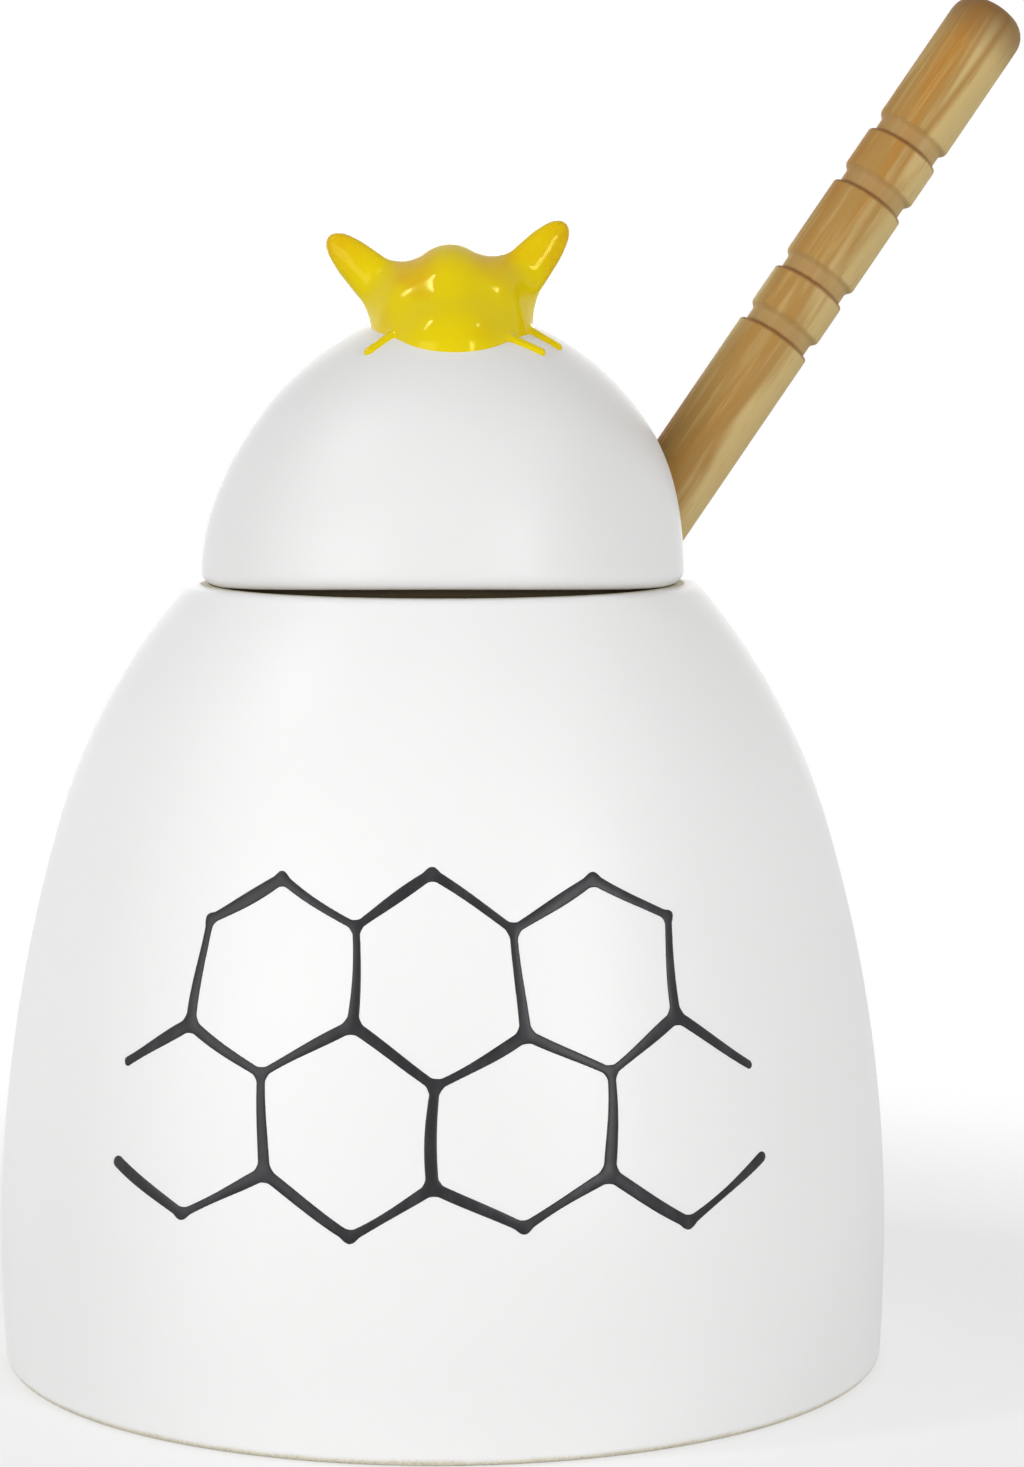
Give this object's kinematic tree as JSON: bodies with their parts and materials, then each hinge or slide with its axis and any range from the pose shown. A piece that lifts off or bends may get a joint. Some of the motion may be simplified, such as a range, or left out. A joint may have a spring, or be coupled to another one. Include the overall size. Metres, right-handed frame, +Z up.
{
  "type": "honey pot",
  "caption": "Bell-shaped glazed honey pot with a lift-off domed lid, a bee for a knob, and a wooden dipper that leans out through a notch in the lid.",
  "frame": {"origin": "middle of the foot, on the surface that the pot stands on", "axes": "+Z up along the pot's axis, -Y to the front, +X to the side that the dipper leans to"},
  "size_m": [0.133, 0.114, 0.1755],
  "materials": {
    "white_glaze": "satin white glaze over cream stoneware",
    "yellow_glaze": "gloss yellow glaze, orange where it pools",
    "dipper_wood": "bare turned light wood"
  },
  "bodies": {
    "pot": {"pot_body": "white_glaze"},
    "lid": {"lid": "white_glaze", "bee_body": "yellow_glaze", "bee_wing_left": "yellow_glaze", "bee_wing_right": "yellow_glaze", "bee_legs": "yellow_glaze"},
    "dipper": {"dipper_handle": "dipper_wood", "dipper_head": "dipper_wood"}
  },
  "joints": [
    {"name": "lid_lift", "type": "slide", "parent": "pot", "child": "lid", "axis": [0, 0, 1], "range_m": [0, 0.1]},
    {"name": "dipper_draw", "type": "slide", "parent": "pot", "child": "dipper", "axis": [0.5622, 0.1506, 0.8132], "range_m": [0, 0.065]}
  ]
}
